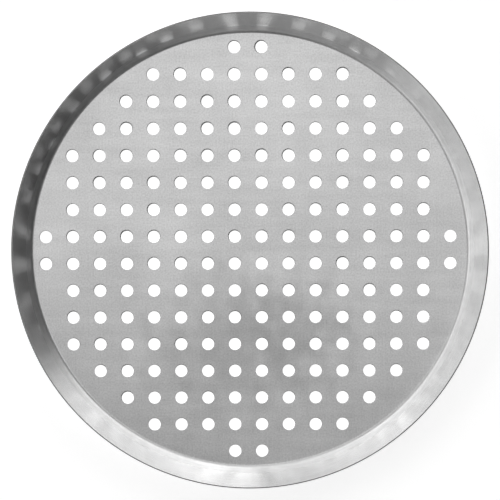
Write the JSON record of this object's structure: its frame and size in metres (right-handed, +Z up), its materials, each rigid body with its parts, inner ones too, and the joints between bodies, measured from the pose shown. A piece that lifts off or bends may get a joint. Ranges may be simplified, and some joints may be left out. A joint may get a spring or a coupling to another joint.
{
  "type": "perforated pizza pan",
  "caption": "Round aluminium pizza pan pressed from one sheet, with a flat floor full of round holes on a square grid and a low wall that slopes outwards to a plain trimmed rim.",
  "frame": {"origin": "centre of the floor's underside, on the axis of the rim", "axes": "+Z up out of the open pan, along the rim's axis; +Y along the sheet's rolling grain and +X across it, both along the rows of holes"},
  "size_m": [0.3599, 0.36, 0.019],
  "materials": {
    "aluminium_sheet": "satin rolled sheet with a fine straight grain"
  },
  "bodies": {
    "root": {"pan": "aluminium_sheet"}
  },
  "joints": []
}
